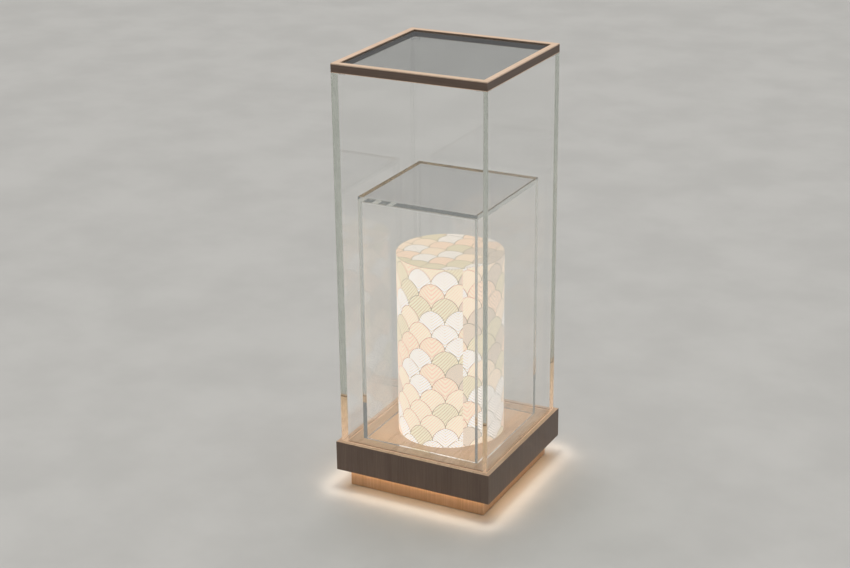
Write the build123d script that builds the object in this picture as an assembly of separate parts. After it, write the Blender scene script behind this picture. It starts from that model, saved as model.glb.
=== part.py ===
from build123d import *
import math
import os

# Free-standing lit display case. A wooden base stands on a recessed plinth and carries a tall
# clear hood with a framed lid. Inside the hood stands a clear inner box, whose top is the
# display shelf, and inside that box stands a glowing drum lantern.
#
# Millimetres. The origin is on the floor under the middle of the case, +Z up.
# The front faces -Y. The rear, with the cable gland and the access panel, faces +Y.

os.makedirs("parts", exist_ok=True)

# Clearances
GAP = 0.3                 # between faces of bodies that move apart
THREAD_GAP = 0.08         # running clearance of a screw foot or a pivot pin
ARRIS = 0.8               # small chamfer on an exposed edge

# Base
BOARD = 18.0
PLINTH_W = 526.0
PLINTH_BOTTOM = 2.0
SLAB_W = 600.0
SLAB_BOTTOM = 70.0
SLAB_TOP = 180.0
SOFFIT_T = 12.0
BEARER_W = 30.0
BEARER_X = 140.0
BEARER_SCREW_Y = (-200.0, -90.0, 90.0, 200.0)

# Levelling feet and the blocks that hold them
BLOCK_W = 60.0
BLOCK_BOTTOM = 18.0
GLUE_GAP = 0.4
FOOT_R = 20.0
PAD_H = 8.0
STEM_R = 5.0
STEM_TOP = 62.0
HEX_FLATS = 17.0
HEX_H = 6.0
INSERT_R = 7.0
INSERT_FLANGE_R = 12.0
INSERT_FLANGE_T = 2.0
INSERT_H = 18.0

# Hood
HOOD_W = 570.0
HOOD_T = 20.0
HOOD_GROOVE = 6.0
HOOD_SEAL_T = 2.0
HOOD_SEAL_DIP = 0.2
SIDE_PLAY = 0.75

# Lid
LID_BOTTOM = 1525.0
LID_SEAL_T = 1.0
RAIL_W = 22.0
RAIL_H = 26.0
CAP_T = 4.0
TOP_PANE_T = 6.0
TOP_PANE_LAP = 8.0
LOCATOR = 24.0
LOCATOR_T = 4.0
LOCATOR_DROP = 8.0
LOCATOR_RISE = 16.0

# Inner box
CUBE_W = 450.0
CUBE_T = 12.0
CUBE_TOP = 1088.0
SHELF_T = 20.0

# Lantern
DRUM_R = 177.0
DRUM_T = 3.0
DRUM_TOP = 855.0
RING_W = 10.0
RING_H = 5.0
BASE_R = 160.0
BASE_T = 3.0
BASE_SCREW_R = 60.0
COLUMN_W = 36.0
COLUMN_WALL = 3.0
COLUMN_TOP = 805.0
STRIP_W = 10.0
STRIP_T = 1.6

# Corner LED profile under the slab
PROFILE_LEG = 16.0
PROFILE_T = 1.4
PROFILE_WEB = 8.0

# Power supply, switch, gland and access panel
DRIVER_X = (-170.0, 10.0)
DRIVER_Y = (100.0, 152.0)
DRIVER_H = 32.0
DRIVER_FLANGE_L = 12.0
DRIVER_FLANGE_T = 4.0
PANEL_START_X = 20.0
PANEL_BOTTOM = 2.5
LINTEL_H = 17.0
REAR_FIXTURE_Z = 36.0
GLAND_X = -158.0
GLAND_BORE_R = 4.0
GLAND_SHANK_R = 8.0
SWITCH_X = -100.0
ROCKER_R = 8.2
ROCKER_H = 11.0
ROCKER_TILT = 8.0
MAGNET_X = (60.0, 165.0)
CATCH_Z = (37.0, 50.0)

# Internal leads
LEAD_R = 2.0
LEAD_HOLE_R = 5.0

SIDE_TURN = {"front": 0, "right": 90, "rear": 180, "left": 270}


# ---------------------------------------------------------------- helpers

def block(x, y, z):
    """Box from its limits along each axis."""
    middle = [(low + high) / 2 for low, high in (x, y, z)]
    size = [high - low for low, high in (x, y, z)]
    return Pos(*middle) * Box(*size)


def rod(radius, z, at=(0.0, 0.0)):
    """Vertical round bar between two heights."""
    return Pos(at[0], at[1], (z[0] + z[1]) / 2) * Cylinder(radius, z[1] - z[0])


def hexagon(flats, z, at=(0.0, 0.0)):
    """Vertical hexagonal bar between two heights."""
    outline = RegularPolygon(flats / 2, 6, major_radius=False)
    return Pos(at[0], at[1], z[0]) * extrude(outline, amount=z[1] - z[0])


def turned(profile, at=(0.0, 0.0)):
    """Solid of revolution about a vertical line, from (radius, z) points."""
    outline = Plane.XZ * make_face(Polyline(*profile, close=True))
    return Pos(at[0], at[1], 0) * revolve(outline, Axis.Z)


def side_length(section):
    """Front length of a square surround, from its (y, z) section, mitred at both ends."""
    reach = max(abs(y) for y, _ in section)
    bar = extrude(Plane.YZ * make_face(Polyline(*section, close=True)), amount=reach, both=True)
    wedge = make_face(Polyline((-reach, -reach), (reach, -reach), (0, 0), close=True))
    low = min(z for _, z in section)
    high = max(z for _, z in section)
    return bar & (Pos(0, 0, low - 1) * extrude(wedge, amount=high - low + 2))


def surround(section):
    """The four mitred lengths of a square surround, by side."""
    front = side_length(section)
    return {side: Rot(0, 0, turn) * front for side, turn in SIDE_TURN.items()}


def strip_section(width, depth, z):
    """Rectangular section whose outer face is half of width from the middle."""
    outer = -width / 2
    return [(outer, z[0]), (outer, z[1]), (outer + depth, z[1]), (outer + depth, z[0])]


def square_ring(width, depth, z):
    """Square ring, used to cut a groove."""
    half = width / 2
    inner = half - depth
    outside = block((-half, half), (-half, half), z)
    return outside - block((-inner, inner), (-inner, inner), z)


def corners(distance):
    """Four points at the corners of a square."""
    return [(x, y) for x in (-distance, distance) for y in (-distance, distance)]


def group(solids):
    """Separate solids kept together as one node."""
    return Compound(children=list(solids))


def countersunk_screw(at, z, length, recess=True):
    """Wood screw driven upwards, with its flat head at height z."""
    profile = [(0, z), (4, z), (2, z + 2.5), (2, z + length - 4), (0, z + length)]
    body = turned(profile, at)
    if recess:
        body -= hexagon(2.5, (z - 1, z + 1.5), at)
    return body


def pan_screw(at, z, length, up, recess=True):
    """Wood screw with a flat-based round head; up is the direction of its point."""
    turn = 1 if up else -1
    profile = [(0, z - 2.2 * turn), (3, z - 2.2 * turn), (3.6, z - 1.4 * turn), (3.6, z),
               (1.75, z), (1.75, z + (length - 3) * turn), (0, z + length * turn)]
    body = turned(profile, at)
    if recess:
        depth = sorted((z - 3 * turn, z - 0.9 * turn))
        body -= hexagon(2.5, depth, at)
    return body


def lead(points):
    """Round flexible lead along straight runs joined by large tangent arcs."""
    route = [Vector(*point) for point in points]
    radii = []
    for before, here, after in zip(route, route[1:], route[2:]):
        turn = (here - before).get_angle(after - here)
        shorter = min((here - before).length, (after - here).length)
        radii.append(0.45 * shorter / math.tan(math.radians(turn / 2)))
    path = FilletPolyline(*route, radius=radii)
    start = Plane(origin=route[0], z_dir=route[1] - route[0])
    tube = sweep(start * Circle(LEAD_R), path=path)
    ideal = math.pi * LEAD_R ** 2 * path.length
    print("lead length", round(path.length), "volume ratio", round(tube.volume / ideal, 4),
          "smallest radius", round(min(radii), 1))
    return tube


# ---------------------------------------------------------------- base

def bearer_screws(recess=True):
    spots = [(x, y) for x in (-BEARER_X, BEARER_X) for y in BEARER_SCREW_Y]
    return [countersunk_screw(spot, SLAB_BOTTOM, 40, recess) for spot in spots]


def driver_screws(recess=True):
    middle = sum(DRIVER_Y) / 2
    edge = DRIVER_FLANGE_L / 2
    spots = [(DRIVER_X[0] - edge, middle), (DRIVER_X[1] + edge, middle)]
    underside = SLAB_BOTTOM - DRIVER_FLANGE_T
    return [pan_screw(spot, underside, 14, True, recess) for spot in spots]


def lantern_screws(recess=True):
    top = SLAB_TOP + BASE_T
    return [pan_screw(spot, top, 15, False, recess) for spot in corners(BASE_SCREW_R)]


def plinth():
    """Four recessed boards. The rear one stops short beside the access panel, under a lintel."""
    half = PLINTH_W / 2
    height = (PLINTH_BOTTOM, SLAB_BOTTOM)
    boards = surround(strip_section(PLINTH_W, BOARD, height))
    square_end = block((half - BOARD, half), (0, half), height)
    boards["right"] = boards["right"] + square_end
    boards["right"] -= Pos(half - BOARD / 2, RING_LEAD[-1][1], RING_LEAD[-1][2]) * (
        Rot(0, 90, 0) * Cylinder(LEAD_HOLE_R, 2 * BOARD))
    rear = boards["rear"] - block((PANEL_START_X, half), (0, half), (0, SLAB_BOTTOM))
    rear -= Pos(GLAND_X, half, REAR_FIXTURE_Z) * Rot(90, 0, 0) * Cylinder(GLAND_SHANK_R, 3 * BOARD)
    rear -= switch_body()
    boards["rear"] = rear
    pieces = {f"plinth_{side}": board for side, board in boards.items()}
    pieces["access_lintel"] = block((PANEL_START_X, half - BOARD), (half - BOARD, half),
                                    (SLAB_BOTTOM - LINTEL_H, SLAB_BOTTOM))
    return pieces


def block_centre():
    return PLINTH_W / 2 - BOARD - GLUE_GAP - BLOCK_W / 2


def corner_blocks():
    """Glued blocks that stiffen the plinth and carry the threaded inserts."""
    half = BLOCK_W / 2
    blocks = []
    for x, y in corners(block_centre()):
        piece = block((x - half, x + half), (y - half, y + half), (BLOCK_BOTTOM, SLAB_BOTTOM))
        piece -= rod(INSERT_R, (BLOCK_BOTTOM, BLOCK_BOTTOM + INSERT_H), (x, y))
        piece -= rod(STEM_R + 1, (BLOCK_BOTTOM, STEM_TOP + 4), (x, y))
        blocks.append(piece)
    return group(blocks)


def foot_inserts():
    """Flanged threaded inserts for the levelling feet."""
    inserts = []
    for spot in corners(block_centre()):
        flange = rod(INSERT_FLANGE_R, (BLOCK_BOTTOM - INSERT_FLANGE_T, BLOCK_BOTTOM), spot)
        barrel = rod(INSERT_R, (BLOCK_BOTTOM, BLOCK_BOTTOM + INSERT_H), spot)
        bore = rod(STEM_R + THREAD_GAP, (0, BLOCK_BOTTOM + INSERT_H + 1), spot)
        inserts.append(flange + barrel - bore)
    return group(inserts)


def levelling_feet():
    """Screw feet, each a moulded pad with a steel stem and its spanner hexagon."""
    feet = {}
    for x, y in corners(block_centre()):
        pad = turned([(0, 0), (FOOT_R - 1, 0), (FOOT_R, 1), (FOOT_R, 4), (FOOT_R - 6, PAD_H), (0, PAD_H)],
                     (x, y))
        stem = hexagon(HEX_FLATS, (PAD_H, PAD_H + HEX_H), (x, y))
        stem += rod(STEM_R, (PAD_H + HEX_H, STEM_TOP), (x, y))
        name = f"levelling_foot_{'front' if y < 0 else 'rear'}_{'left' if x < 0 else 'right'}"
        feet[name] = group([pad, stem])
    return feet


def soffit_panel():
    """Plywood bottom of the slab, on top of the plinth."""
    half = SLAB_W / 2 - BOARD
    panel = block((-half, half), (-half, half), (SLAB_BOTTOM, SLAB_BOTTOM + SOFFIT_T))
    panel -= rod(LEAD_HOLE_R, (SLAB_BOTTOM - 1, SLAB_BOTTOM + SOFFIT_T + 1), COLUMN_LEAD[1][:2])
    for screw in bearer_screws(False) + driver_screws(False):
        panel -= screw
    return panel


def fascias():
    """Veneered sides of the slab, mitred to the deck and to each other."""
    outer = -SLAB_W / 2
    inner = outer + BOARD
    section = [(outer, SLAB_BOTTOM), (outer, SLAB_TOP - ARRIS),
               (outer + ARRIS / 2, SLAB_TOP - ARRIS / 2), (inner, SLAB_TOP - BOARD), (inner, SLAB_BOTTOM)]
    return {f"fascia_{side}": board for side, board in surround(section).items()}


def deck_panel():
    """Top board with bevelled edges, the groove for the hood and the lantern's fixings."""
    top = SLAB_W / 2 - ARRIS
    edge = SLAB_W / 2 - ARRIS / 2
    bottom = SLAB_W / 2 - BOARD
    section = [(-bottom, SLAB_TOP - BOARD), (-edge, SLAB_TOP - ARRIS / 2), (-top, SLAB_TOP),
               (top, SLAB_TOP), (edge, SLAB_TOP - ARRIS / 2), (bottom, SLAB_TOP - BOARD)]
    slab = extrude(Plane.YZ * make_face(Polyline(*section, close=True)), amount=SLAB_W / 2, both=True)
    deck = slab & (Rot(0, 0, 90) * slab)
    play = 2 * SIDE_PLAY
    deck -= square_ring(HOOD_W + play, HOOD_T + play, (SLAB_TOP - HOOD_GROOVE, SLAB_TOP + 1))
    deck -= rod(LEAD_HOLE_R, (SLAB_TOP - BOARD - 1, SLAB_TOP + 1))
    for screw in lantern_screws(False):
        deck -= screw
    return deck


def deck_bearers():
    """Two battens between the soffit and the deck."""
    reach = SLAB_W / 2 - BOARD
    height = (SLAB_BOTTOM + SOFFIT_T, SLAB_TOP - BOARD)
    bearers = []
    for x in (-BEARER_X, BEARER_X):
        batten = block((x - BEARER_W / 2, x + BEARER_W / 2), (-reach, reach), height)
        for screw in bearer_screws(False):
            batten -= screw
        bearers.append(batten)
    return group(bearers)


# ---------------------------------------------------------------- under-slab light

def led_profile():
    """Corner profile in the angle of plinth and soffit, shining outwards and down."""
    out = -PLINTH_W / 2
    top = SLAB_BOTTOM
    leg = PROFILE_LEG
    wall = PROFILE_T
    web = PROFILE_WEB
    angle = [(out, top), (out - leg, top), (out - leg, top - wall), (out - web - wall, top - wall),
             (out - wall, top - web - wall), (out - wall, top - leg), (out, top - leg)]
    lens = [(out - leg, top - wall), (out - leg + 3, top - leg + 6), (out - leg + 6, top - leg + 3),
            (out - wall, top - leg), (out - wall, top - leg + 1.2),
            (out - leg + 6.8, top - leg + 4.2), (out - leg + 4.2, top - leg + 6.8),
            (out - leg + 1.2, top - wall)]
    near = 2.0
    deep = 1.2
    shift = deep * math.sqrt(0.5)
    board = [(out - web - wall + near, top - wall - near), (out - wall - near, top - web - wall + near)]
    strip = board + [(y - shift, z - shift) for y, z in reversed(board)]
    return {
        "led_channels": group(surround(angle).values()),
        "led_diffusers": group(surround(lens).values()),
        "led_strips": group(surround(strip).values()),
    }


# ---------------------------------------------------------------- power

def led_driver():
    """LED power supply with a screw flange at each end."""
    bottom = SLAB_BOTTOM - DRIVER_H
    body = block(DRIVER_X, DRIVER_Y, (bottom, SLAB_BOTTOM))
    body = chamfer(body.edges().filter_by(Axis.X), 2)
    flange = block((DRIVER_X[0] - DRIVER_FLANGE_L, DRIVER_X[1] + DRIVER_FLANGE_L),
                   (DRIVER_Y[0] + 10, DRIVER_Y[1] - 10), (SLAB_BOTTOM - DRIVER_FLANGE_T, SLAB_BOTTOM))
    driver = body + flange
    for screw in driver_screws(False):
        driver -= screw
    return driver


def cable_gland():
    """Gland with its lock nut, on a horizontal axis through the rear board."""
    face = 0.0
    inner = -BOARD
    body = rod(GLAND_SHANK_R, (inner - 7, face)) + hexagon(22, (face, face + 5))
    dome = turned([(0, face + 5), (10, face + 5), (10, face + 14), (6.5, face + 20), (0, face + 20)])
    bore = rod(GLAND_BORE_R, (inner - 8, face + 21))
    nut = hexagon(22, (inner - 5, inner)) - rod(GLAND_SHANK_R, (inner - 6, inner + 1))
    place = Pos(GLAND_X, PLINTH_W / 2, REAR_FIXTURE_Z) * Rot(-90, 0, 0)
    return group([place * (body + dome - bore), place * nut])


def switch_body():
    """Outer envelope of the switch where it passes through the rear board."""
    face = PLINTH_W / 2
    z = REAR_FIXTURE_Z
    return block((SWITCH_X - 10, SWITCH_X + 10), (face - 20, face), (z - 7.3, z + 7.3))


def switch_housing():
    """Snap-in switch housing with its bezel and the recess for the rocker."""
    face = PLINTH_W / 2
    z = REAR_FIXTURE_Z
    bezel = block((SWITCH_X - 12.5, SWITCH_X + 12.5), (face, face + 2), (z - 9.5, z + 9.5))
    bezel = chamfer(bezel.faces().sort_by(Axis.Y)[-1].edges(), 0.7)
    room = ROCKER_R + GAP
    half = ROCKER_H / 2 + GAP
    recess = block((SWITCH_X - room, SWITCH_X + room), (face - room, face + 3), (z - half, z + half))
    pin_hole = rod(1 + THREAD_GAP, (z - half - 1.2, z + half + 1.2), (SWITCH_X, face))
    return switch_body() + bezel - recess - pin_hole


def switch_rocker():
    """Two-faced rocker on a vertical pivot, drawn pressed to one side."""
    rise = ROCKER_R * math.tan(math.radians(ROCKER_TILT))
    outline = make_face(Polyline((-ROCKER_R, -5), (ROCKER_R, -5), (ROCKER_R, 2 + rise), (0, 2),
                                 (-ROCKER_R, 2 + rise), close=True))
    solid = extrude(outline & Circle(ROCKER_R), amount=ROCKER_H / 2, both=True)
    half = ROCKER_H / 2
    solid += rod(1, (-half - 1, half + 1))
    return Pos(SWITCH_X, PLINTH_W / 2, REAR_FIXTURE_Z) * Rot(0, 0, -ROCKER_TILT) * solid


def access_panel():
    """Removable board under the lintel, behind which the power supply is reached."""
    half = PLINTH_W / 2
    board = block((PANEL_START_X + GAP, half - BOARD - GAP), (half - BOARD, half),
                  (PANEL_BOTTOM, SLAB_BOTTOM - LINTEL_H - GAP))
    plates = [block((x - 12, x + 12), (half - BOARD, half - BOARD + 1.5), CATCH_Z) for x in MAGNET_X]
    for plate in plates:
        board -= plate
    return {"access_panel": board, "catch_plates": group(plates)}


def catch_magnets():
    """Magnet blocks that hang from the soffit and hold the access panel."""
    back = PLINTH_W / 2 - BOARD - GAP
    return group([block((x - 10, x + 10), (back - 12, back), (CATCH_Z[0], SLAB_BOTTOM)) for x in MAGNET_X])


# Routes of the leads, which all stay inside the case
COLUMN_LEAD = [(10, 115, 50), (60, 115, 50), (60, 115, 105), (34, 52, 112), (0, 0, 118), (0, 0, 180)]
RING_LEAD = [(10, 137, 50), (58, 137, 50), (108, 132, 54), (160, 133, 58), (215, 137, 61), (263, 137, 61)]
SWITCH_LEAD = [(-100, 243, 36), (-100, 207, 36), (-122, 178, 38), (-158, 170, 41), (-192, 160, 44),
               (-212, 138, 46), (-200, 115, 50), (-170, 115, 50)]


# ---------------------------------------------------------------- clear hood and lid

def pane_walls(width, thickness, z):
    """Four upright panes: front and rear run full width, the sides fit between them."""
    half = width / 2
    inner = half - thickness
    front = block((-half, half), (-half, -inner), z)
    front = chamfer(front.edges().filter_by(Axis.Z).sort_by(Axis.Y)[:2], ARRIS)
    side = block((inner, half), (-inner, inner), z)
    return {"front": front, "rear": Rot(0, 0, 180) * front, "right": side, "left": Rot(0, 0, 180) * side}


def hood():
    """Tall bonded hood, standing in the deck's outer groove."""
    bottom = SLAB_TOP - HOOD_GROOVE + HOOD_SEAL_T + GAP
    top = LID_BOTTOM - LID_SEAL_T - GAP
    return {f"hood_pane_{side}": pane for side, pane in pane_walls(HOOD_W, HOOD_T, (bottom, top)).items()}


def hood_seal():
    """Soft channel that lines the groove, in which the hood stands."""
    bottom = SLAB_TOP - HOOD_GROOVE
    bed = bottom + HOOD_SEAL_T
    lip = SLAB_TOP - HOOD_SEAL_DIP
    outside = -HOOD_W / 2 - SIDE_PLAY
    inside = -HOOD_W / 2 + HOOD_T + SIDE_PLAY
    near = -HOOD_W / 2 - GAP
    far = -HOOD_W / 2 + HOOD_T + GAP
    channel = [(outside, bottom), (outside, lip), (near, lip), (near, bed),
               (far, bed), (far, lip), (inside, lip), (inside, bottom)]
    return group(surround(channel).values())


def quarter(x, y, near, far, z):
    """Square block in one corner of the case; x and y are the signs of that corner."""
    return block(sorted((x * near, x * far)), sorted((y * near, y * far)), z)


def locator(x, y):
    """Clear angle glued inside the rails in one corner, which reaches down inside the hood."""
    near = HOOD_W / 2 - HOOD_T - SIDE_PLAY
    far = near - LOCATOR
    rail_face = HOOD_W / 2 - RAIL_W
    bottom = LID_BOTTOM - LOCATOR_DROP
    top = LID_BOTTOM + LOCATOR_RISE
    angle = quarter(x, y, near, far, (bottom, LID_BOTTOM)) + quarter(x, y, rail_face, far, (LID_BOTTOM, top))
    return angle - quarter(x, y, rail_face - LOCATOR_T, far - 1, (bottom - 1, top + 1))


def lid():
    """Mitred frame with a rebate for the top pane, which the light capping strips hold down."""
    outer = -HOOD_W / 2
    inner = outer + RAIL_W
    rail_top = LID_BOTTOM + RAIL_H
    rebate = inner - TOP_PANE_LAP
    shelf = rail_top - TOP_PANE_T
    rail = [(outer + ARRIS, LID_BOTTOM), (outer, LID_BOTTOM + ARRIS), (outer, rail_top),
            (rebate, rail_top), (rebate, shelf), (inner, shelf), (inner, LID_BOTTOM)]
    cap_top = rail_top + CAP_T
    cap = [(outer, rail_top), (outer, cap_top - ARRIS), (outer + ARRIS, cap_top), (inner - ARRIS, cap_top),
           (inner, cap_top - ARRIS), (inner, rail_top)]
    pane_half = -rebate - SIDE_PLAY
    seal = strip_section(HOOD_W, HOOD_T, (LID_BOTTOM - LID_SEAL_T, LID_BOTTOM))
    pieces = {f"frame_rail_{side}": bar for side, bar in surround(rail).items()}
    pieces["frame_caps"] = group(surround(cap).values())
    pieces["top_pane"] = block((-pane_half, pane_half), (-pane_half, pane_half), (shelf, rail_top))
    pieces["lid_seal"] = group(surround(seal).values())
    pieces["lid_locators"] = group([locator(x, y) for x, y in corners(1)])
    return pieces


# ---------------------------------------------------------------- inner box

def cube():
    """Bonded inner box, standing on the deck; its top is the display shelf."""
    half = CUBE_W / 2
    walls = pane_walls(CUBE_W, CUBE_T, (SLAB_TOP + GAP, CUBE_TOP - SHELF_T))
    pieces = {f"cube_pane_{side}": pane for side, pane in walls.items()}
    shelf = block((-half, half), (-half, half), (CUBE_TOP - SHELF_T, CUBE_TOP))
    shelf = chamfer(shelf.edges().filter_by(Axis.Z), ARRIS)
    pieces["cube_shelf"] = chamfer(shelf.faces().sort_by(Axis.Z)[-1].edges(), ARRIS)
    return pieces


# ---------------------------------------------------------------- lantern

def lantern_core():
    """Base plate and square light column, fixed to the deck."""
    plate_top = SLAB_TOP + BASE_T
    plate = rod(BASE_R, (SLAB_TOP, plate_top))
    for screw in lantern_screws(False):
        plate -= screw
    half = COLUMN_W / 2
    inside = half - COLUMN_WALL
    height = (plate_top, COLUMN_TOP)
    column = block((-half, half), (-half, half), height)
    column -= block((-inside, inside), (-inside, inside), height)
    strip = block((-STRIP_W / 2, STRIP_W / 2), (-half - STRIP_T, -half), (plate_top + 15, COLUMN_TOP - 5))
    cap = block((-half, half), (-half, half), (COLUMN_TOP, COLUMN_TOP + 4))
    cap = chamfer(cap.faces().sort_by(Axis.Z)[-1].edges(), 1.5)
    return {
        "lantern_base": plate,
        "lantern_screws": group(lantern_screws()),
        "light_column": column,
        "column_strips": group([Rot(0, 0, turn) * strip for turn in SIDE_TURN.values()]),
        "column_cap": cap,
    }


def hoop(outer, width, z):
    """Flat round ring."""
    return rod(outer, z) - rod(outer - width, z)


def lantern_shade():
    """Printed drum with its top disc and two stiffening rings."""
    bottom = SLAB_TOP + GAP
    rim = DRUM_TOP - DRUM_T
    inside = DRUM_R - DRUM_T
    disc = rod(DRUM_R, (rim, DRUM_TOP))
    disc = chamfer(disc.faces().sort_by(Axis.Z)[-1].edges(), ARRIS)
    return {
        "shade_drum": hoop(DRUM_R, DRUM_T, (bottom, rim)),
        "shade_disc": disc,
        "shade_ring_top": hoop(inside, RING_W, (rim - RING_H, rim)),
        "shade_ring_bottom": hoop(inside, RING_W, (bottom, bottom + RING_H)),
    }


# ---------------------------------------------------------------- all pieces

pieces = {}
pieces.update(plinth())
pieces["corner_blocks"] = corner_blocks()
pieces["foot_inserts"] = foot_inserts()
pieces.update(levelling_feet())
pieces["soffit_panel"] = soffit_panel()
pieces.update(fascias())
pieces["deck_panel"] = deck_panel()
pieces["deck_bearers"] = deck_bearers()
pieces["slab_screws"] = group(bearer_screws())
pieces.update(led_profile())
pieces["led_driver"] = led_driver()
pieces["driver_screws"] = group(driver_screws())
pieces["cable_gland"] = cable_gland()
pieces["switch_housing"] = switch_housing()
pieces["switch_rocker"] = switch_rocker()
pieces.update(access_panel())
pieces["catch_magnets"] = catch_magnets()
pieces["column_lead"] = lead(COLUMN_LEAD)
pieces["ring_lead"] = lead(RING_LEAD)
pieces["switch_lead"] = lead(SWITCH_LEAD)
pieces.update(hood())
pieces["hood_seal"] = hood_seal()
pieces.update(lid())
pieces.update(cube())
pieces.update(lantern_core())
pieces.update(lantern_shade())

for name, shape in pieces.items():
    export_step(shape, f"parts/{name}.step")
print(len(pieces), "nodes")
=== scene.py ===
import bmesh
import bpy
import math
from mathutils import Matrix, Vector

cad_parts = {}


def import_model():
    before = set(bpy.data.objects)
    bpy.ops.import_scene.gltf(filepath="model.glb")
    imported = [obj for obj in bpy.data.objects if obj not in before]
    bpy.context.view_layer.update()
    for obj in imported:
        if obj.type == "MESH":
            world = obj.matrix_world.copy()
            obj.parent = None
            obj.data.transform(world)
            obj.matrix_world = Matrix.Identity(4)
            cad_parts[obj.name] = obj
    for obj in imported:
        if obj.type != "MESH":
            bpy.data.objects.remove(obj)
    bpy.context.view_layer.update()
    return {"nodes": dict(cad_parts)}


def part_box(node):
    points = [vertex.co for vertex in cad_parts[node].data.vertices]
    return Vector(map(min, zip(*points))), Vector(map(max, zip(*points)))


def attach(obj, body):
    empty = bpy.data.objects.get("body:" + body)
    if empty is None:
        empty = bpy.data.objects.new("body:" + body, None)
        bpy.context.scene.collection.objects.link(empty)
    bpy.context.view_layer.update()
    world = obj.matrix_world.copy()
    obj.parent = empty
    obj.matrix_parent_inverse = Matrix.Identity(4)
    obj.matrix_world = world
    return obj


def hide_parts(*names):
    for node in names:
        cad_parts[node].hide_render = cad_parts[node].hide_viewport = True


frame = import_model()

# Lengths are in metres, angles in degrees and lamp powers in watts, unless a comment says otherwise.

# Camera, at the reference viewing angle. The lens and sensor are in millimetres.
CAMERA_AZIMUTH = 27.686
CAMERA_ELEVATION = 21.388
CAMERA_ROLL = -0.651
CAMERA_PLACE = (2.5665, -5.0697, 2.9532)
CAMERA_LENS = 73.61
CAMERA_SENSOR = 36.0

# Clear acrylic. Its greens are taken over depth, at the density that goes with each piece, and the shadow
# tint is what each surface leaves of the lamps' light.
ACRYLIC_IOR = 1.49
ACRYLIC_ROUGHNESS = 0.004
HANDLING_ROUGHNESS = 0.012
GREY_GREEN = (0.72, 0.76, 0.70, 1.0)
SMOKED_GREEN = (0.45, 0.50, 0.45, 1.0)
SHADOW_TINT = (0.97, 0.98, 0.97, 1.0)
HOOD_DENSITY = 2.0
INNER_BOX_DENSITY = 1.2
LID_DENSITY = 25.0

# Polished edges of the shells, and the hood's foot in its seal
ARRIS = 0.0008
INSIDE_ARRIS = ARRIS / 2
ARRIS_STEPS = 3
BEDDED = 0.0004
LIP_GAP = 0.0002
WELD_DISTANCE = 1e-6

# Wood: width of a pore as a share of its length, thickness of a ply, and the pine's growth rings, by
# the metre sideways and by the metre up, and how many of them they wander by
GRAIN_STRETCH = 0.02
PLY = 0.0015
PINE_RINGS_SIDEWAYS = 150
PINE_RINGS_UP = 70
PINE_WANDER = 6

# Lantern print: pitch of its scales, powers that shape their arches, and where a tip stands beside the
# seam. The start column and row choose the part of the endless pattern that falls there.
SCALE_PITCH = 0.0939
SCALE_ROW = 0.0492
ARCH_SIDE = 1.6
ARCH_TOP = 1.9
SEAM_BEARING = 44.6
TIP_BESIDE_SEAM = 0.063
TIP_HEIGHT = 0.846
START_COLUMN = 20
START_ROW = 21

# Kinds of scale, as limits on a number that drifts from scale to scale
COLUMN_DRIFT = 0.55
ROW_DRIFT = 0.34
ODD_SHARE = 0.16
PEACH_FROM = 0.50
CREAM_FROM = 0.57
SAGE_FROM = 0.64
GREIGE_FROM = 0.705

# Light that pieces give off, as emission strength
DRUM_GLOW = 1.24
DISC_GLOW = 0.82
LENS_GLOW = 4.0
CHIP_GLOW = 3.0
# Painted light: the seal is no lamp. Its glow brightens the seal's lips and strips seen through the
# acrylic, and stands for the light that a translucent seal would pass.
SEAL_PAINTED_GLOW = 0.2

# Share of the room's light that the lit print takes up, so that its own light sets its colour
PRINT_SHADE = 0.7

# Light strips: pitch of the chips, and half a chip and a pad as shares of it
CHIP_PITCH = 0.012
CHIP_HALF = 0.16
PAD_SHARE = 0.08

# Overhead light, in watts per square metre
OVERHEAD_STRENGTH = 2.3
OVERHEAD_SPREAD = 50
OVERHEAD_TILT = (-12, -10)
OVERHEAD_COLOUR = (1.0, 0.97, 0.93)

# Light inside the case
CASE_POWER = 0.62
CASE_SPREAD = 14.0
CASE_LAMP_DROP = 0.03
CASE_COLOUR = (1.0, 0.94, 0.86)

# Under-slab light
GLOW_POWER = 0.055
GLOW_SPREAD = 55.0
GLOW_REACH = 0.050
GLOW_LAMP_GAP = 0.004
GLOW_LAMP_WIDTH = 0.006
GLOW_COLOUR = (1.0, 0.84, 0.70)

# Studio
FLOOR_RADIUS = 16.0
FLOOR_THICKNESS = 0.05
FLOOR_SIDES = 96
WORLD_STRENGTH = 0.28
WORLD_HORIZON = (0.72, 0.73, 0.74, 1.0)
WORLD_TOP = (0.92, 0.92, 0.92, 1.0)

# Light runs many times along inside a clear pane before it leaves at an edge.
LIGHT_BOUNCES = 72
CLEAR_BOUNCES = 24

BLACK = (0, 0, 0, 1)
WHITE = (1, 1, 1, 1)
SIDES = ("front", "right", "rear", "left")


# ---------------------------------------------------------------- node graphs

def paint(red, green, blue):
    """Linear RGBA from sRGB channels of 0 to 255."""
    linear = []
    for channel in (red, green, blue):
        share = channel / 255
        linear.append(share / 12.92 if share <= 0.04045 else ((share + 0.055) / 1.055) ** 2.4)
    return (*linear, 1.0)


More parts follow.
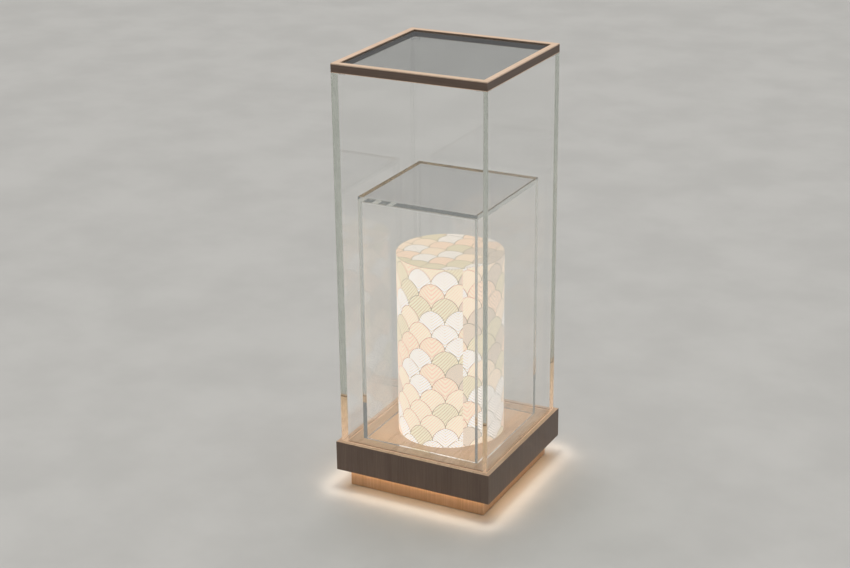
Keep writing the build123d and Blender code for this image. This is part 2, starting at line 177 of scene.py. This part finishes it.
class Graph:
    """One material and short calls that add nodes to it."""

    def __init__(self, name):
        self.material = bpy.data.materials.new(name)
        self.material.use_nodes = True
        self.tree = self.material.node_tree
        self.tree.nodes.clear()
        self.place = self.node("TexCoord").outputs["Object"]

    def node(self, kind, **settings):
        made = self.tree.nodes.new("ShaderNode" + kind)
        for key, value in settings.items():
            setattr(made, key, value)
        return made

    def feed(self, socket, value):
        """Links a socket to another one, or sets it to a plain value."""
        if isinstance(value, bpy.types.NodeSocket):
            self.tree.links.new(value, socket)
        else:
            socket.default_value = value

    def math(self, operation, *values):
        made = self.node("Math", operation=operation)
        for socket, value in zip(made.inputs, values):
            self.feed(socket, value)
        return made.outputs[0]

    def plus(self, first, second):
        return self.math("ADD", first, second)

    def minus(self, first, second):
        return self.math("SUBTRACT", first, second)

    def times(self, first, second):
        return self.math("MULTIPLY", first, second)

    def size(self, value):
        return self.math("ABSOLUTE", value)

    def axes(self, vector=None):
        made = self.node("SeparateXYZ")
        self.feed(made.inputs[0], vector or self.place)
        return made.outputs

    def vector(self, x, y, z):
        made = self.node("CombineXYZ")
        for socket, value in zip(made.inputs, (x, y, z)):
            self.feed(socket, value)
        return made.outputs[0]

    def stretched(self, x, y, z):
        """Object coordinates, each axis times a factor."""
        made = self.node("VectorMath", operation="MULTIPLY")
        self.feed(made.inputs[0], self.place)
        made.inputs[1].default_value = (x, y, z)
        return made.outputs[0]

    def noise(self, vector, scale, detail=2.0, roughness=0.5):
        made = self.node("TexNoise")
        self.feed(made.inputs["Vector"], vector)
        made.inputs["Scale"].default_value = scale
        made.inputs["Detail"].default_value = detail
        made.inputs["Roughness"].default_value = roughness
        return made.outputs[0]

    def fit(self, value, low, high, to_low=0.0, to_high=1.0):
        """Eases from to_low to to_high while value goes from low to high."""
        made = self.node("MapRange", interpolation_type="SMOOTHSTEP")
        for socket, number in zip(made.inputs, (value, low, high, to_low, to_high)):
            self.feed(socket, number)
        return made.outputs[0]

    def blend(self, factor, first, second):
        """Colour that goes from first at factor 0 to second at factor 1."""
        made = self.node("Mix", data_type="RGBA")
        self.feed(made.inputs[6], first)
        self.feed(made.inputs[7], second)
        self.feed(made.inputs[0], factor)
        return made.outputs[2]

    def bump(self, height, distance, strength):
        made = self.node("Bump")
        made.inputs["Strength"].default_value = strength
        made.inputs["Distance"].default_value = distance
        self.feed(made.inputs["Height"], height)
        return made.outputs[0]

    def shader(self, **values):
        """Principled shader. An underscore in a name stands for a space in its socket's."""
        made = self.node("BsdfPrincipled")
        for key, value in values.items():
            self.feed(made.inputs[key.replace("_", " ")], value)
        return made.outputs[0]

    def done(self, surface, volume=None):
        out = self.node("OutputMaterial")
        self.feed(out.inputs["Surface"], surface)
        if volume is not None:
            self.feed(out.inputs["Volume"], volume)
        return self.material

    def edges(self, low, high, width):
        """Mask that is 1 along the edges of a box and fades over width."""
        middle = (low + high) / 2
        half = (high - low) / 2
        gaps = []
        for axis, centre, reach in zip(self.axes(), middle, half):
            away = self.size(self.minus(axis, centre))
            gaps.append(self.minus(reach, away))
        lesser = self.math("MINIMUM", gaps[0], gaps[1])
        greater = self.math("MAXIMUM", gaps[0], gaps[1])
        second = self.math("MAXIMUM", lesser, self.math("MINIMUM", greater, gaps[2]))
        return self.fit(second, 0.0, width, 1.0, 0.0)


# ---------------------------------------------------------------- nodes of the CAD model

def by_side(stem):
    """Names of the four nodes that share a stem, one a side."""
    return [f"{stem}_{side}" for side in SIDES]


def group_box(names):
    """Lowest and highest corner of several CAD nodes together."""
    lows, highs = zip(*(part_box(name) for name in names))
    low = Vector([min(corner[i] for corner in lows) for i in range(3)])
    high = Vector([max(corner[i] for corner in highs) for i in range(3)])
    return low, high


def dress(material, *names):
    """Gives CAD nodes their finished material."""
    for name in names:
        for place in frame["nodes"][name].material_slots:
            place.material = material


# ---------------------------------------------------------------- wood

def veneer(name, tones, grain, nodes, rough=0.42, coat=0.2, wear=0.35):
    """Lacquered open-grain veneer in three tones. grain is the axis that its pores run along."""
    dark, middle, light = tones
    graph = Graph(name)
    along = [GRAIN_STRETCH if axis == grain else 1 for axis in "xyz"]
    loosely_along = [math.sqrt(part) for part in along]
    pores = graph.noise(graph.stretched(*along), scale=1400, detail=3, roughness=0.65)
    streaks = graph.noise(graph.stretched(*along), scale=260, detail=4, roughness=0.6)
    figure = graph.noise(graph.stretched(*loosely_along), scale=26, detail=3, roughness=0.55)
    tone = graph.plus(graph.times(streaks, 0.6), graph.times(figure, 0.4))
    colour = graph.blend(graph.fit(tone, 0.36, 0.52), dark, middle)
    colour = graph.blend(graph.fit(tone, 0.50, 0.66), colour, light)
    pore_mask = graph.fit(pores, 0.34, 0.46, 1.0, 0.0)
    colour = graph.blend(graph.times(pore_mask, 0.45), colour, dark)
    patches = graph.fit(graph.noise(graph.place, scale=90, detail=3), 0.42, 0.62)
    rubbed = graph.times(graph.edges(*group_box(nodes), width=0.0035), patches)
    colour = graph.blend(graph.times(rubbed, wear), colour, light)
    roughness = graph.plus(graph.times(pore_mask, 0.12),
                           graph.fit(figure, 0.3, 0.7, rough - 0.05, rough + 0.06))
    surface = graph.shader(Base_Color=colour, Roughness=roughness, Coat_Weight=coat,
                           Coat_Roughness=0.22, Specular_IOR_Level=0.42,
                           Normal=graph.bump(pores, distance=0.00012, strength=0.6))
    dress(graph.done(surface), *nodes)


def softwood(name, nodes):
    """Sawn pine with soft growth bands."""
    graph = Graph(name)
    wander = graph.noise(graph.place, scale=9, detail=2)
    x, _, z = graph.axes()
    rings = graph.plus(graph.times(x, PINE_RINGS_SIDEWAYS), graph.times(wander, PINE_WANDER))
    rings = graph.plus(rings, graph.times(z, PINE_RINGS_UP))
    late_wood = graph.math("POWER", graph.math("FRACT", rings), 3)
    fibre = graph.noise(graph.stretched(1, 0.03, 1), scale=1100, detail=3, roughness=0.6)
    colour = graph.blend(late_wood, paint(226, 196, 150), paint(184, 136, 88))
    colour = graph.blend(graph.fit(fibre, 0.35, 0.6, 0.25, 0.0), colour, paint(150, 112, 74))
    surface = graph.shader(Base_Color=colour, Roughness=graph.fit(fibre, 0.3, 0.7, 0.72, 0.6),
                           Normal=graph.bump(fibre, distance=0.0002, strength=0.7))
    dress(graph.done(surface), *nodes)


def plywood(name, nodes):
    """Birch plywood, whose edges show alternating plies."""
    graph = Graph(name)
    z = graph.axes()[2]
    layer = graph.math("MODULO", graph.math("FLOOR", graph.math("DIVIDE", z, PLY)), 2)
    normal = graph.node("NewGeometry").outputs["Normal"]
    facing_up = graph.size(graph.axes(normal)[2])
    on_edge = graph.fit(facing_up, 0.2, 0.6, 1.0, 0.0)
    fibre = graph.noise(graph.stretched(0.03, 1, 1), scale=900, detail=3, roughness=0.6)
    figure = graph.noise(graph.stretched(0.15, 1, 1), scale=22, detail=3)
    face = graph.blend(graph.fit(figure, 0.35, 0.65), paint(222, 196, 156), paint(199, 166, 122))
    face = graph.blend(graph.fit(fibre, 0.3, 0.55, 0.3, 0.0), face, paint(160, 124, 84))
    plies = graph.blend(layer, paint(206, 176, 132), paint(138, 100, 66))
    surface = graph.shader(Base_Color=graph.blend(on_edge, face, plies), Roughness=0.58,
                           Normal=graph.bump(fibre, distance=0.00015, strength=0.6))
    dress(graph.done(surface), *nodes)


# ---------------------------------------------------------------- metal, plastic and rubber

def metal(name, nodes, colour, shade, rough, brush=(1, 1, 1), scale=600):
    """Metal with fine marks, drawn out along an axis that brush makes small, and handling stains."""
    graph = Graph(name)
    marks = graph.noise(graph.stretched(*brush), scale, detail=3, roughness=0.6)
    stains = graph.noise(graph.place, scale=35, detail=4, roughness=0.6)
    tint = graph.blend(graph.fit(stains, 0.35, 0.7), colour, shade)
    roughness = graph.plus(graph.fit(marks, 0.3, 0.7, rough - 0.06, rough + 0.08),
                           graph.fit(stains, 0.45, 0.75, 0.0, 0.1))
    surface = graph.shader(Base_Color=tint, Metallic=1.0, Roughness=roughness,
                           Normal=graph.bump(marks, distance=0.00004, strength=0.8))
    dress(graph.done(surface), *nodes)


def moulded(name, nodes, colour, rub, rough, glow=0.0):
    """Moulded plastic or rubber with a fine spark-eroded grain and slightly polished edges. A glow above
    nought is painted light, given off in the piece's own colour though it is no lamp.
    """
    graph = Graph(name)
    texture = graph.noise(graph.place, scale=1800, detail=2)
    patches = graph.noise(graph.place, scale=40, detail=3)
    worn = graph.times(graph.edges(*group_box(nodes), width=0.0012), graph.fit(patches, 0.4, 0.6))
    tint = graph.blend(graph.times(worn, 0.5), colour, rub)
    tint = graph.blend(graph.fit(patches, 0.3, 0.75, 0.0, 0.25), tint, rub)
    roughness = graph.fit(patches, 0.3, 0.7, rough - 0.05, rough + 0.07)
    surface = graph.shader(Base_Color=tint, Roughness=roughness,
                           Normal=graph.bump(texture, distance=0.00006, strength=0.7),
                           Emission_Color=tint, Emission_Strength=glow)
    dress(graph.done(surface), *nodes)


# ---------------------------------------------------------------- clear acrylic

def acrylic(name, tint, density):
    """Clear cast acrylic: bends light, takes its colour over depth and lets the lamps through."""
    graph = Graph(name)
    handling = graph.noise(graph.place, scale=7, detail=4, roughness=0.6)
    roughness = graph.fit(handling, 0.4, 0.75, ACRYLIC_ROUGHNESS, ACRYLIC_ROUGHNESS + HANDLING_ROUGHNESS)
    waves = graph.noise(graph.stretched(1, 1, 0.35), scale=5, detail=1)
    surface = graph.shader(Base_Color=WHITE, Transmission_Weight=1.0, IOR=ACRYLIC_IOR, Roughness=roughness,
                           Normal=graph.bump(waves, distance=0.0004, strength=0.3))
    clear = graph.node("BsdfTransparent")
    clear.inputs["Color"].default_value = SHADOW_TINT
    path = graph.node("LightPath")
    mixed = graph.node("MixShader")
    graph.feed(mixed.inputs[0], path.outputs["Is Shadow Ray"])
    graph.feed(mixed.inputs[1], surface)
    graph.feed(mixed.inputs[2], clear.outputs[0])
    depth = graph.node("VolumeAbsorption")
    depth.inputs["Color"].default_value = tint
    depth.inputs["Density"].default_value = density
    return graph.done(mixed.outputs[0], depth.outputs[0])


def square_ring(half, arris, z):
    """Points at height z of a square outline, each corner rounded by a small polished arris."""
    centre = Vector((half - arris, half - arris, z))
    points = []
    for turn in range(4):
        spin = Matrix.Rotation(math.radians(90 * turn), 3, "Z")
        for step in range(ARRIS_STEPS + 1):
            angle = math.radians(90 * step / ARRIS_STEPS)
            points.append(spin @ (centre + arris * Vector((math.cos(angle), math.sin(angle), 0))))
    return points


def lofted(name, rings, capped=True):
    """Mesh through rings of points of equal count. capped closes its first and last ring."""
    mesh = bmesh.new()
    loops = [[mesh.verts.new(point) for point in ring] for ring in rings]
    count = len(loops[0])
    for lower, upper in zip(loops, loops[1:]):
        for i in range(count):
            j = (i + 1) % count
            mesh.faces.new((lower[i], lower[j], upper[j], upper[i]))
    if capped:
        mesh.faces.new(loops[0])
        mesh.faces.new(loops[-1])
    bmesh.ops.recalc_face_normals(mesh, faces=mesh.faces)
    data = bpy.data.meshes.new(name)
    mesh.to_mesh(data)
    mesh.free()
    piece = bpy.data.objects.new(name, data)
    bpy.context.scene.collection.objects.link(piece)
    return piece


def weld(piece):
    """Joins the points that lie on each other, which closes a loft that ends where it starts."""
    mesh = bmesh.new()
    mesh.from_mesh(piece.data)
    bmesh.ops.remove_doubles(mesh, verts=mesh.verts, dist=WELD_DISTANCE)
    bmesh.ops.recalc_face_normals(mesh, faces=mesh.faces)
    mesh.to_mesh(piece.data)
    mesh.free()


def finish_piece(piece, material, body, nodes):
    """Dresses a new piece, joins it to its body and hides the CAD nodes that it stands for."""
    piece.data.materials.append(material)
    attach(piece, body)
    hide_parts(*nodes)


def pane_thickness(name):
    """Thickness of an upright pane that faces sideways."""
    low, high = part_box(name)
    return high.x - low.x


def hood_shell(material):
    """The four bonded panes of the hood as one body of acrylic, pressed into the seal that holds it."""
    panes = by_side("hood_pane")
    low, high = group_box(panes)
    outer = high.x
    inner = outer - pane_thickness("hood_pane_right")
    bottom = low.z - BEDDED
    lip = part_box("hood_seal")[1].z - BEDDED
    foot = square_ring(outer - LIP_GAP, ARRIS, bottom)
    rings = [foot,
             square_ring(outer - LIP_GAP, ARRIS, lip),
             square_ring(outer, ARRIS, lip),
             square_ring(outer, ARRIS, high.z),
             square_ring(inner, INSIDE_ARRIS, high.z),
             square_ring(inner, INSIDE_ARRIS, lip),
             square_ring(inner + LIP_GAP, INSIDE_ARRIS, lip),
             square_ring(inner + LIP_GAP, INSIDE_ARRIS, bottom),
             foot]
    piece = lofted("hood_shell", rings, capped=False)
    weld(piece)
    finish_piece(piece, material, "hood", panes)


def inner_box_shell(material):
    """The inner box: four panes bonded under its shelf, as one body of acrylic."""
    panes = by_side("cube_pane") + ["cube_shelf"]
    low, high = group_box(panes)
    outer = high.x
    inner = outer - pane_thickness("cube_pane_right")
    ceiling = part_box("cube_shelf")[0].z
    rings = [square_ring(inner, INSIDE_ARRIS, ceiling),
             square_ring(inner, INSIDE_ARRIS, low.z),
             square_ring(outer, ARRIS, low.z),
             square_ring(outer, ARRIS, high.z - ARRIS),
             square_ring(outer - ARRIS, ARRIS, high.z)]
    piece = lofted("inner_box_shell", rings)
    finish_piece(piece, material, "inner_box", panes)


# ---------------------------------------------------------------- lantern print

WARM_WHITE = paint(252, 243, 234)
PEACH = paint(242, 215, 191)
CREAM = paint(243, 222, 198)
SAGE = paint(227, 215, 189)
GREIGE = paint(211, 195, 177)
BARK_INK = paint(112, 106, 84)
MOSS_INK = paint(190, 176, 144)
OUTLINE_INK = paint(120, 110, 86)


def print_places(graph, nodes, wrapped):
    """Flat (u, v) of the print, from its seam: round the drum and up it, or across the disc."""
    x, y, z = graph.axes()
    bearing = math.radians(SEAM_BEARING)
    aside = graph.plus(graph.times(x, math.cos(bearing)), graph.times(y, math.sin(bearing)))
    ahead = graph.plus(graph.times(x, math.sin(bearing)), graph.times(y, -math.cos(bearing)))
    behind = graph.times(ahead, -1)
    start_u = START_COLUMN * SCALE_PITCH
    start_v = START_ROW * SCALE_ROW
    if not wrapped:
        return graph.plus(aside, start_u), graph.plus(behind, start_v)
    # The angle is counted from behind the drum, so that it jumps at the seam.
    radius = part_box(nodes[0])[1].x
    from_behind = graph.math("ARCTAN2", graph.times(aside, -1), behind)
    u = graph.plus(graph.times(from_behind, radius), TIP_BESIDE_SEAM - math.pi * radius + start_u)
    v = graph.plus(z, start_v - TIP_HEIGHT)
    return u, v


def fish_scales(graph, u, v):
    """Overlapping arches over a flat (u, v). Returns each scale's local places, ids and outline."""
    rows = graph.math("DIVIDE", v, SCALE_ROW)
    row = graph.math("FLOOR", rows)
    rise = graph.minus(rows, row)
    across = graph.math("DIVIDE", u, SCALE_PITCH)
    odd = graph.math("FLOORED_MODULO", row, 2)
    shift_here = graph.times(odd, 0.5)
    shift_next = graph.minus(0.5, shift_here)

    def column(shift):
        moved = graph.minus(across, shift)
        nearest = graph.math("ROUND", moved)
        return nearest, graph.times(graph.minus(moved, nearest), 2)

    column_here, side_here = column(shift_here)
    column_next, side_next = column(shift_next)
    bulge = graph.math("POWER", graph.size(side_here), ARCH_SIDE)
    height = graph.math("POWER", rise, ARCH_TOP)
    level = graph.plus(bulge, height)
    outside = graph.math("GREATER_THAN", level, 1.0)

    def pick(here, there):
        return graph.plus(here, graph.times(outside, graph.minus(there, here)))

    scale_row = graph.plus(row, outside)
    scale_column = graph.plus(pick(column_here, column_next), pick(shift_here, shift_next))
    side = pick(side_here, side_next)
    climb = graph.minus(rise, outside)
    outline = graph.size(graph.minus(level, 1.0))
    return side, climb, scale_row, scale_column, outline


def scale_kind(graph, row, column):
    """Number that sets a scale's kind. It drifts slowly from scale to scale, with a few odd ones."""
    cell = graph.vector(graph.times(column, COLUMN_DRIFT), graph.times(row, ROW_DRIFT), 0.0)
    family = graph.noise(cell, scale=1.0, detail=1.0)
    odd_one = graph.node("TexWhiteNoise", noise_dimensions="2D")
    graph.feed(odd_one.inputs["Vector"], graph.vector(column, row, 0.0))
    return graph.plus(family, graph.times(odd_one.outputs[0], ODD_SHARE))


def scale_colour(graph, side, climb, kind):
    """White, peach, cream, sage or greige by kind, each but the last with its own lines."""
    spread = graph.size(side)

    def lines(height, count, half_width, fade):
        wave = graph.size(graph.minus(graph.math("FRACT", graph.times(height, count)), 0.5))
        return graph.fit(wave, half_width, half_width + fade, 1.0, 0.0)

    def chevron(slope, bend=1.0):
        return graph.minus(climb, graph.times(graph.math("POWER", spread, bend), slope))

    def inked(paper, ink, mask, strength):
        return graph.blend(graph.times(mask, strength), paper, ink)

    def switched(limit, below, above):
        return graph.blend(graph.math("GREATER_THAN", kind, limit), below, above)

    sweep = graph.math("POWER", graph.plus(side, 1.6), 1.4)
    slant = graph.minus(graph.times(climb, 0.9), graph.times(sweep, 0.55))
    barbs = lines(chevron(slope=0.8), count=4.6, half_width=0.13, fade=0.14)
    vein = graph.fit(spread, 0.015, 0.045, 0.35, 0.0)
    feather = graph.math("MAXIMUM", barbs, vein)
    fan = lines(chevron(slope=1.1, bend=1.2), count=3.1, half_width=0.12, fade=0.12)
    ribs = lines(slant, count=4.4, half_width=0.13, fade=0.12)
    stripes = lines(slant, count=-4.2, half_width=0.16, fade=0.12)

    colour = inked(WARM_WHITE, BARK_INK, feather, 0.50)
    colour = switched(PEACH_FROM, colour, inked(PEACH, BARK_INK, fan, 0.24))
    colour = switched(CREAM_FROM, colour, inked(CREAM, BARK_INK, ribs, 0.24))
    colour = switched(SAGE_FROM, colour, inked(SAGE, MOSS_INK, stripes, 0.65))
    return switched(GREIGE_FROM, colour, GREIGE)


def lantern_print(name, nodes, wrapped, glow):
    """Printed skin of the lantern, lit from within."""
    graph = Graph(name)
    u, v = print_places(graph, nodes, wrapped)
    side, climb, row, column, outline = fish_scales(graph, u, v)
    colour = scale_colour(graph, side, climb, scale_kind(graph, row, column))
    colour = graph.blend(graph.fit(outline, 0.015, 0.065, 0.75, 0.0), colour, OUTLINE_INK)
    paper = graph.noise(graph.place, scale=420, detail=3, roughness=0.6)
    colour = graph.blend(graph.fit(paper, 0.35, 0.65, 0.0, 0.06), colour, GREIGE)
    surface = graph.shader(Base_Color=graph.blend(PRINT_SHADE, colour, BLACK),
                           Roughness=graph.fit(paper, 0.3, 0.7, 0.42, 0.55),
                           Coat_Weight=0.3, Coat_Roughness=0.12, Specular_IOR_Level=0.4,
                           Emission_Color=colour, Emission_Strength=glow,
                           Normal=graph.bump(paper, distance=0.00005, strength=0.5))
    dress(graph.done(surface), *nodes)


# ---------------------------------------------------------------- light parts

def lit_lens(name, nodes):
    """Frosted lens of the corner profile, lit warm from behind."""
    graph = Graph(name)
    grain = graph.noise(graph.place, scale=900, detail=2)
    colour = graph.blend(graph.fit(grain, 0.3, 0.7), paint(255, 204, 150), paint(255, 214, 166))
    surface = graph.shader(Base_Color=paint(240, 232, 220), Roughness=graph.fit(grain, 0.3, 0.7, 0.4, 0.5),
                           Emission_Color=colour, Emission_Strength=LENS_GLOW)
    dress(graph.done(surface), *nodes)


def led_board(name, nodes):
    """White circuit board with amber light chips and copper pads along it."""
    graph = Graph(name)
    x, y, z = graph.axes()
    run = graph.plus(graph.plus(x, y), z)
    step = graph.math("FRACT", graph.math("DIVIDE", run, CHIP_PITCH))
    chip = graph.math("LESS_THAN", graph.size(graph.minus(step, 0.5)), CHIP_HALF)
    pad = graph.math("LESS_THAN", step, PAD_SHARE)
    colour = graph.blend(chip, paint(244, 243, 238), paint(240, 190, 70))
    colour = graph.blend(pad, colour, paint(196, 132, 86))
    mask = graph.noise(graph.place, scale=300, detail=2)
    surface = graph.shader(Base_Color=colour, Roughness=graph.fit(mask, 0.3, 0.7, 0.35, 0.5),
                           Emission_Color=graph.blend(chip, BLACK, paint(255, 206, 140)),
                           Emission_Strength=CHIP_GLOW)
    dress(graph.done(surface), *nodes)


def opal(name, nodes):
    """Opal acrylic rings inside the shade."""
    graph = Graph(name)
    milk = graph.noise(graph.place, scale=60, detail=3)
    surface = graph.shader(Base_Color=graph.blend(milk, paint(238, 234, 226), paint(248, 246, 240)),
                           Roughness=graph.fit(milk, 0.3, 0.7, 0.25, 0.35), Transmission_Weight=0.15,
                           IOR=ACRYLIC_IOR)
    dress(graph.done(surface), *nodes)


# ---------------------------------------------------------------- all finishes

AMBER_WOOD = (paint(206, 165, 126), paint(217, 177, 138), paint(225, 187, 150))
DARK_WOOD = (paint(115, 95, 82), paint(124, 104, 91), paint(134, 114, 100))
# Painted light: the deck and the frame caps stand for the slab's veneer with light falling on their tops.
# They are paler copies of it, the caps palest, and the deck is paler still to make up for the dim light
# under the glass.
DECK_WOOD_PAINTED_LIGHT = (paint(202, 167, 138), paint(209, 175, 146), paint(216, 184, 156))
CAP_WOOD_PAINTED_LIGHT = (paint(236, 204, 176), paint(245, 215, 188), paint(250, 224, 200))
FEET = [f"levelling_foot_{end}_{side}" for end in ("front", "rear") for side in ("left", "right")]

veneer("plinth_amber_veneer", AMBER_WOOD, "z", by_side("plinth") + ["access_panel", "access_lintel"])
veneer("slab_dark_veneer", DARK_WOOD, "z", by_side("fascia"), rough=0.5, coat=0.1)
veneer("rail_dark_veneer_x", DARK_WOOD, "x", ["frame_rail_front", "frame_rail_rear"], rough=0.5, coat=0.1)
veneer("rail_dark_veneer_y", DARK_WOOD, "y", ["frame_rail_left", "frame_rail_right"], rough=0.5, coat=0.1)
# The deck and the caps take the paler copies of the veneer, painted light on their lit tops.
veneer("deck_veneer_painted_light", DECK_WOOD_PAINTED_LIGHT, "y", ["deck_panel"], rough=0.30, coat=0.4)
veneer("cap_veneer_painted_light", CAP_WOOD_PAINTED_LIGHT, "x", ["frame_caps"], rough=0.4, wear=0.15)
softwood("pine", ["corner_blocks", "deck_bearers"])
plywood("birch_ply", ["soffit_panel"])

metal("zinc_screws", ["slab_screws", "driver_screws", "lantern_screws", "catch_plates", "foot_inserts"],
      paint(196, 192, 182), paint(168, 160, 140), rough=0.3)
metal("foot_metal", FEET, paint(176, 177, 178), paint(146, 146, 148), rough=0.32)
metal("anodised_aluminium", ["led_channels", "light_column", "lantern_base", "column_cap"],
      paint(205, 206, 208), paint(188, 189, 192), rough=0.34, brush=(1, 1, 0.02), scale=900)
moulded("driver_plastic", ["led_driver"], paint(226, 227, 224), paint(206, 206, 202), rough=0.5)
moulded("black_plastic", ["cable_gland", "switch_housing", "catch_magnets"],
        paint(30, 30, 31), paint(58, 58, 60), rough=0.46)
moulded("rocker_plastic", ["switch_rocker"], paint(36, 36, 38), paint(74, 74, 78), rough=0.3)
moulded("lead_sleeve", ["column_lead", "ring_lead", "switch_lead"],
        paint(34, 34, 35), paint(60, 60, 62), rough=0.4)
# The seal's glow is painted light; the seal is no lamp.
moulded("soft_seal", ["hood_seal", "lid_seal"], paint(236, 198, 168), paint(240, 206, 178), rough=0.55,
        glow=SEAL_PAINTED_GLOW)

lit_lens("warm_lens", ["led_diffusers"])
led_board("light_strip", ["led_strips", "column_strips"])
opal("opal_ring", ["shade_ring_top", "shade_ring_bottom"])
lantern_print("scale_print_wrapped", ["shade_drum"], wrapped=True, glow=DRUM_GLOW)
lantern_print("scale_print_flat", ["shade_disc"], wrapped=False, glow=DISC_GLOW)

hood_shell(acrylic("hood_acrylic", GREY_GREEN, HOOD_DENSITY))
inner_box_shell(acrylic("inner_box_acrylic", GREY_GREEN, INNER_BOX_DENSITY))
dress(acrylic("lid_acrylic", SMOKED_GREEN, LID_DENSITY), "top_pane")
dress(acrylic("locator_acrylic", GREY_GREEN, HOOD_DENSITY), "lid_locators")


# ---------------------------------------------------------------- stage, light and camera

def floor():
    """Plain pale floor."""
    top = []
    for step in range(FLOOR_SIDES):
        angle = step * math.tau / FLOOR_SIDES
        top.append(Vector((math.cos(angle), math.sin(angle), 0)) * FLOOR_RADIUS)
    thickness = Vector((0, 0, FLOOR_THICKNESS))
    piece = lofted("floor", [[point - thickness for point in top], top])
    graph = Graph("pale_floor")
    clouds = graph.noise(graph.place, scale=2.2, detail=4, roughness=0.55)
    colour = graph.blend(graph.fit(clouds, 0.3, 0.7), paint(192, 192, 190), paint(200, 200, 198))
    surface = graph.shader(Base_Color=colour, Roughness=0.55)
    piece.data.materials.append(graph.done(surface))


def world():
    """Soft studio surround, a little brighter overhead than at the horizon."""
    made = bpy.data.worlds.new("studio")
    made.use_nodes = True
    tree = made.node_tree
    background = tree.nodes["Background"]
    background.inputs["Strength"].default_value = WORLD_STRENGTH
    place = tree.nodes.new("ShaderNodeTexCoord")
    split = tree.nodes.new("ShaderNodeSeparateXYZ")
    ramp = tree.nodes.new("ShaderNodeMapRange")
    shade = tree.nodes.new("ShaderNodeMix")
    shade.data_type = "RGBA"
    shade.inputs[6].default_value = WORLD_HORIZON
    shade.inputs[7].default_value = WORLD_TOP
    tree.links.new(place.outputs["Generated"], split.inputs[0])
    tree.links.new(split.outputs[2], ramp.inputs[0])
    tree.links.new(ramp.outputs[0], shade.inputs[0])
    tree.links.new(shade.outputs[2], background.inputs["Color"])
    bpy.context.scene.world = made


def hide_in_mirrors(holder):
    """Keeps a lamp out of reflections and out of what is seen through the clear pieces."""
    holder.visible_glossy = False
    holder.visible_transmission = False


def overhead_light():
    """Broad soft light from almost straight above."""
    lamp = bpy.data.lights.new("overhead", "SUN")
    lamp.energy = OVERHEAD_STRENGTH
    lamp.angle = math.radians(OVERHEAD_SPREAD)
    lamp.color = OVERHEAD_COLOUR
    holder = bpy.data.objects.new("overhead", lamp)
    holder.rotation_euler = (math.radians(OVERHEAD_TILT[0]), math.radians(OVERHEAD_TILT[1]), 0)
    hide_in_mirrors(holder)
    bpy.context.scene.collection.objects.link(holder)


def area_light(name, place, target, size, power, colour, spread):
    """Rectangular lamp at place that faces target, and that the camera doesn't see."""
    lamp = bpy.data.lights.new(name, "AREA")
    lamp.shape = "RECTANGLE"
    lamp.size, lamp.size_y = size
    lamp.energy = power
    lamp.color = colour
    lamp.spread = math.radians(spread)
    holder = bpy.data.objects.new(name, lamp)
    holder.location = place
    holder.rotation_mode = "QUATERNION"
    holder.rotation_quaternion = (Vector(target) - Vector(place)).to_track_quat("-Z", "Y")
    holder.visible_camera = False
    bpy.context.scene.collection.objects.link(holder)
    return holder


def case_light():
    """Soft light that falls straight down inside the case, seen by nothing but what it lights."""
    opening = 2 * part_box("frame_rail_rear")[0].y
    lid_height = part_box("top_pane")[0].z
    holder = area_light("case_light", (0, 0, lid_height - CASE_LAMP_DROP), (0, 0, 0), (opening, opening),
                        CASE_POWER, CASE_COLOUR, CASE_SPREAD)
    hide_in_mirrors(holder)


def under_slab_glow():
    """Warm wash that the corner profile throws on the floor, one lamp a side."""
    low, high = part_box("led_diffusers")
    slab_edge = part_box("deck_panel")[1].x
    length = 2 * (high.x + GLOW_REACH)
    for turn, side in enumerate(SIDES):
        spin = Matrix.Rotation(math.radians(90 * turn), 3, "Z")
        place = spin @ Vector((0, -high.x - GLOW_LAMP_GAP, (low.z + high.z) / 2))
        target = spin @ Vector((0, -slab_edge - GLOW_REACH, 0))
        area_light(f"glow_{side}", place, target, (length, GLOW_LAMP_WIDTH),
                   GLOW_POWER, GLOW_COLOUR, GLOW_SPREAD)


def camera():
    """Camera at its place, looking back from its azimuth and elevation and turned by its roll."""
    azimuth = math.radians(CAMERA_AZIMUTH)
    elevation = math.radians(CAMERA_ELEVATION)
    level = math.cos(elevation)
    back = Vector((math.sin(azimuth) * level, -math.cos(azimuth) * level, math.sin(elevation)))
    right = (-back).cross(Vector((0, 0, 1))).normalized()
    right = Matrix.Rotation(math.radians(CAMERA_ROLL), 3, back) @ right
    up = back.cross(right)
    data = bpy.data.cameras.new("camera")
    data.lens = CAMERA_LENS
    data.sensor_width = CAMERA_SENSOR
    holder = bpy.data.objects.new("camera", data)
    holder.matrix_world = Matrix.Translation(CAMERA_PLACE) @ Matrix((right, up, back)).transposed().to_4x4()
    bpy.context.scene.collection.objects.link(holder)
    bpy.context.scene.camera = holder


floor()
world()
overhead_light()
case_light()
under_slab_glow()
camera()

scene = bpy.context.scene
scene.view_settings.view_transform = "Standard"
scene.cycles.max_bounces = LIGHT_BOUNCES
scene.cycles.glossy_bounces = LIGHT_BOUNCES
scene.cycles.transmission_bounces = LIGHT_BOUNCES
scene.cycles.transparent_max_bounces = CLEAR_BOUNCES
scene.cycles.caustics_reflective = False
scene.cycles.caustics_refractive = False
